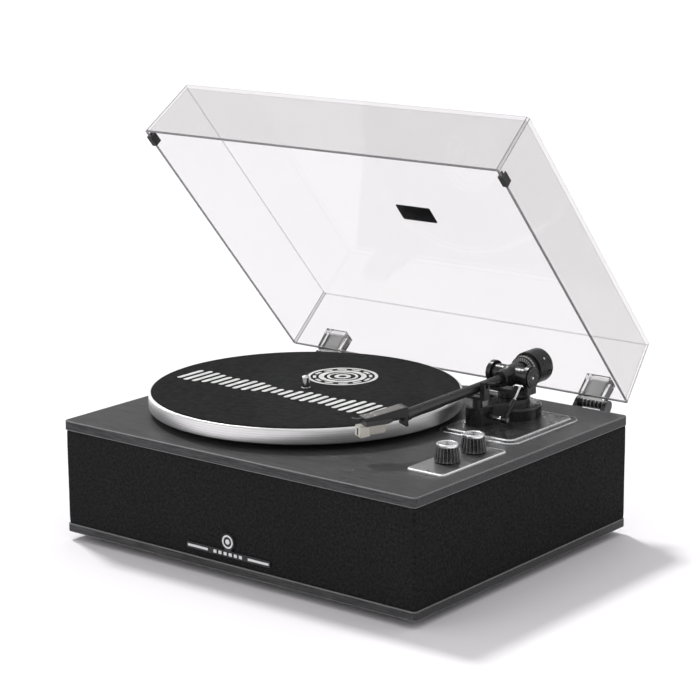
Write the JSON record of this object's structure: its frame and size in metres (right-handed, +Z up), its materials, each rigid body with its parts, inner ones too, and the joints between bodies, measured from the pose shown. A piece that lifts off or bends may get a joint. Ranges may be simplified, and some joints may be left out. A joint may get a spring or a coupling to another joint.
{
  "type": "record player",
  "caption": "Belt-drive record player in a cloth-fronted speaker plinth, with a hinged clear cover, two fluted knobs and a straight tonearm.",
  "frame": {"origin": "on the floor under the middle of the whole player, its open cover included", "axes": "+Z up, the front faces -Y, the tonearm is on +X"},
  "size_m": [0.4082, 0.3788, 0.4113],
  "materials": {
    "board": "satin charcoal lacquer",
    "raw_board": "bare fibreboard",
    "grille_cloth": "plain weave",
    "black_plastic": "satin",
    "gloss_black": "gloss",
    "dark_plate": "gloss",
    "clear_acrylic": "clear",
    "mat_felt": "felt with printed rings",
    "aluminium": "brushed",
    "steel": "brushed",
    "chrome": "polished",
    "brass": "turned",
    "black_metal": "satin black",
    "rubber": "matte",
    "beige_plastic": "matte",
    "circuit_board": "solder mask",
    "paper_cone": "paper pulp",
    "silver_print": "satin"
  },
  "bodies": {
    "plinth": {"top_board": "board", "bottom_board": "board", "front_baffle": "raw_board", "left_panel": "raw_board", "right_panel": "raw_board", "rear_panel": "board", "grille_frame": "black_plastic", "front_grille_cloth": "grille_cloth", "left_grille_cloth": "grille_cloth", "right_grille_cloth": "grille_cloth", "badge_plate": "black_plastic", "badge_inlay": "silver_print", "left_speaker_basket": "black_metal", "left_speaker_cone": "paper_cone", "left_speaker_magnet": "black_metal", "right_speaker_basket": "black_metal", "right_speaker_cone": "paper_cone", "right_speaker_magnet": "black_metal", "feet": "rubber", "amplifier_board": "circuit_board", "volume_potentiometer": "steel", "selector_switch": "steel", "terminal_plate": "black_plastic", "rca_jacks": "brass", "dc_inlet": "black_plastic", "motor": "steel", "drive_belt": "rubber", "bearing_housing": "brass", "knob_plate": "aluminium", "knob_plate_screws": "steel", "tonearm_plate": "dark_plate", "tonearm_base": "gloss_black", "arm_rest": "black_plastic", "hinge_bases": "gloss_black"},
    "platter_assembly": {"spindle": "chrome", "platter": "aluminium", "platter_mat": "mat_felt"},
    "motor_rotor": {"motor_pulley": "brass"},
    "volume_control": {"volume_knob": "gloss_black", "volume_knob_cap": "chrome"},
    "selector_control": {"selector_knob": "gloss_black", "selector_knob_cap": "chrome"},
    "gimbal": {"gimbal_yoke": "black_metal", "pivot_caps": "black_plastic"},
    "arm": {"arm_housing": "black_metal", "arm_tube": "black_metal", "headshell": "black_plastic", "cartridge": "gloss_black", "stylus_assembly": "beige_plastic"},
    "weight_sleeve": {"counterweight_sleeve": "brass"},
    "tracking_dial": {"force_dial": "black_plastic"},
    "weight": {"counterweight": "black_metal"},
    "rest_clip": {"arm_clip": "black_plastic"},
    "lifter": {"lifter_bar": "black_plastic"},
    "cueing_lever": {"cue_lever": "chrome"},
    "cover": {"dust_cover": "clear_acrylic", "hinge_leaves": "steel", "hinge_sockets": "clear_acrylic", "cover_bumpers": "rubber", "cover_label": "gloss_black"}
  },
  "joints": [
    {"name": "cover_hinge", "type": "hinge", "parent": "plinth", "child": "cover", "pos_m": [0, 0.15254, 0.1175], "axis": [-1, 0, 0], "range_deg": [-48.9, 0]},
    {"name": "platter_spin", "type": "hinge", "parent": "plinth", "child": "platter_assembly", "pos_m": [-0.0499, -0.02125, 0.1155], "axis": [0, 0, 1], "continuous": true},
    {"name": "motor_spin", "type": "hinge", "parent": "plinth", "child": "motor_rotor", "pos_m": [-0.127, 0.05654, 0.1155], "axis": [0, 0, 1], "continuous": true},
    {"name": "volume_turn", "type": "hinge", "parent": "plinth", "child": "volume_control", "pos_m": [0.165, -0.08995, 0.1155], "axis": [0, 0, -1], "range_deg": [0, 300]},
    {"name": "selector_turn", "type": "hinge", "parent": "plinth", "child": "selector_control", "pos_m": [0.165, -0.05096, 0.1155], "axis": [0, 0, -1], "range_deg": [-60, 60]},
    {"name": "arm_swing", "type": "hinge", "parent": "plinth", "child": "gimbal", "pos_m": [0.122, 0.07054, 0.1565], "axis": [0, 0, -1], "range_deg": [0, 41]},
    {"name": "arm_raise", "type": "hinge", "parent": "gimbal", "child": "arm", "pos_m": [0.122, 0.07054, 0.1565], "axis": [-1, 0, 0], "range_deg": [-2.2, 12]},
    {"name": "counterweight_travel", "type": "slide", "parent": "arm", "child": "weight_sleeve", "axis": [0, 0.9998, 0.0222], "range_m": [0, 0.0015]},
    {"name": "counterweight_turn", "type": "hinge", "parent": "weight_sleeve", "child": "weight", "pos_m": [0.122, 0.07054, 0.1565], "axis": [0, 0.9998, 0.0222], "range_deg": [0, 270]},
    {"name": "force_dial_turn", "type": "hinge", "parent": "weight_sleeve", "child": "tracking_dial", "pos_m": [0.122, 0.07054, 0.1565], "axis": [0, 0.9998, 0.0222], "range_deg": [-180, 180]},
    {"name": "clip_latch", "type": "hinge", "parent": "plinth", "child": "rest_clip", "pos_m": [0.1305, 0.01455, 0.16], "axis": [0, 1, 0], "range_deg": [-155, 0]},
    {"name": "cue_lever_turn", "type": "hinge", "parent": "plinth", "child": "cueing_lever", "pos_m": [0.141, 0.03254, 0.1245], "axis": [1, 0, 0], "range_deg": [0, 60]},
    {"name": "lifter_slide", "type": "slide", "parent": "plinth", "child": "lifter", "axis": [0, 0, 1], "range_m": [0, 0.004]}
  ],
  "couplings": [
    {"joint": "motor_spin", "follows": "platter_spin", "ratio": 10.933},
    {"joint": "counterweight_travel", "follows": "counterweight_turn", "m_per_rad": 0.00031831},
    {"joint": "lifter_slide", "follows": "cue_lever_turn", "m_per_rad": 0.0038}
  ]
}
